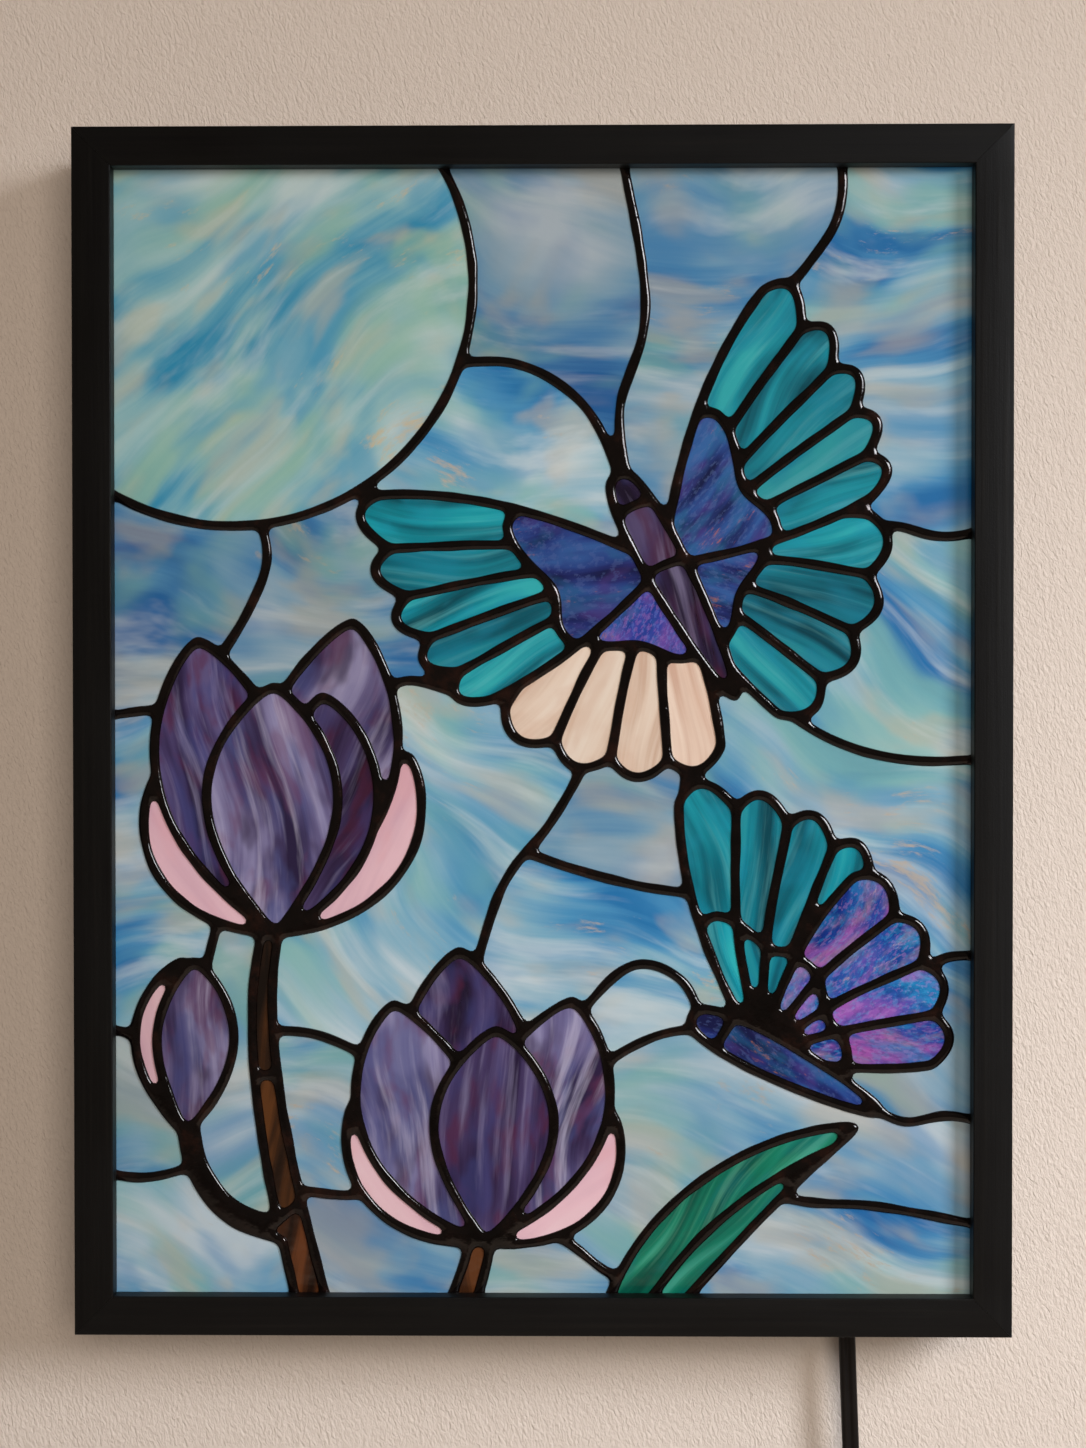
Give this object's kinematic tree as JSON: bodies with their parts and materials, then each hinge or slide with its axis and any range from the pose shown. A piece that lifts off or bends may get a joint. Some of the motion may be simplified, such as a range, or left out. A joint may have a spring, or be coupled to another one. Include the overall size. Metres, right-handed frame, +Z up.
{
  "type": "stained glass light box",
  "caption": "Hollow wall-hung light box: a deep black wooden frame round a copper-foil stained glass panel of butterflies and flowers, with a cord and plug.",
  "frame": {"origin": "on the wall, at the middle of the hanger's rear face, 22 mm below the frame's top edge", "axes": "+Z up, +Y into the wall, +X to the right of someone facing the picture, which faces -Y"},
  "size_m": [0.325, 0.0446, 0.6033],
  "materials": {
    "black_wood": "wood stained and lacquered matt black, with softly eased edges",
    "patina_solder": "domed tin-lead solder lines with a black patina, slightly uneven and satin",
    "sky_glass": "streaky opalescent glass in white, sky blue and aqua, smooth and glossy",
    "disc_glass": "streaky opalescent glass in aqua, blue and sand, smooth and glossy",
    "teal_glass": "streaky teal glass, glossy",
    "cobalt_glass": "iridescent cobalt glass with bronze and violet flecks",
    "mottled_glass": "iridescent mottled glass in violet, magenta and cyan, lightly hammered",
    "cream_glass": "cream opalescent glass with fine peach streaks",
    "violet_glass": "wispy violet glass with white and dark streaks",
    "plum_glass": "dark plum glass with wisps of violet and white",
    "pink_glass": "opalescent pink glass",
    "emerald_glass": "streaky emerald glass",
    "amber_glass": "dark amber brown glass",
    "backing_board": "thin fibreboard, painted matt black",
    "zinc_steel": "pressed steel, zinc plated",
    "rubber": "moulded black rubber",
    "cord_sheath": "flexible black PVC sheath of two cores side by side",
    "tie_strap": "black nylon hook-and-loop strap",
    "plug_body": "moulded black PVC",
    "plug_blade": "nickel-plated brass"
  },
  "bodies": {
    "root": {"back_board": "backing_board", "bud_petal_1_glass": "pink_glass", "bud_petal_2_glass": "violet_glass", "bumper_left": "rubber", "bumper_right": "rubber", "cord": "cord_sheath", "cord_coil": "cord_sheath", "cord_grommet": "rubber", "cord_tail": "cord_sheath", "cord_tie": "tie_strap", "disc_glass": "disc_glass", "far_wing_glass": "teal_glass", "frame_rail_bottom": "black_wood", "frame_rail_left": "black_wood", "frame_rail_right": "black_wood", "frame_rail_top": "black_wood", "hanger": "zinc_steel", "large_body_glass": "plum_glass", "leaf_glass": "emerald_glass", "left_forewing_cells_glass": "teal_glass", "left_forewing_heart_glass": "cobalt_glass", "left_hindwing_cells_glass": "cream_glass", "left_hindwing_heart_glass": "mottled_glass", "lower_flower_petal_1_glass": "pink_glass", "lower_flower_petal_2_glass": "pink_glass", "lower_flower_petal_3_glass": "plum_glass", "lower_flower_petal_4_glass": "violet_glass", "lower_flower_petal_5_glass": "violet_glass", "lower_flower_petal_6_glass": "plum_glass", "near_wing_glass": "mottled_glass", "plug_blade_left": "plug_blade", "plug_blade_right": "plug_blade", "plug_body": "plug_body", "right_forewing_cells_glass": "teal_glass", "right_forewing_heart_glass": "cobalt_glass", "right_hindwing_cells_glass": "teal_glass", "right_hindwing_heart_glass": "cobalt_glass", "short_stem_glass": "amber_glass", "sky_01_glass": "sky_glass", "sky_02_glass": "sky_glass", "sky_03_glass": "sky_glass", "sky_04_glass": "sky_glass", "sky_05_glass": "sky_glass", "sky_06_glass": "sky_glass", "sky_07_glass": "sky_glass", "sky_08_glass": "sky_glass", "sky_09_glass": "sky_glass", "sky_10_glass": "sky_glass", "sky_11_glass": "sky_glass", "sky_12_glass": "sky_glass", "small_body_glass": "cobalt_glass", "solder_lattice": "patina_solder", "tall_stem_glass": "amber_glass", "upper_flower_petal_1_glass": "pink_glass", "upper_flower_petal_2_glass": "pink_glass", "upper_flower_petal_3_glass": "violet_glass", "upper_flower_petal_4_glass": "plum_glass", "upper_flower_petal_5_glass": "plum_glass", "upper_flower_petal_6_glass": "violet_glass"}
  },
  "joints": []
}
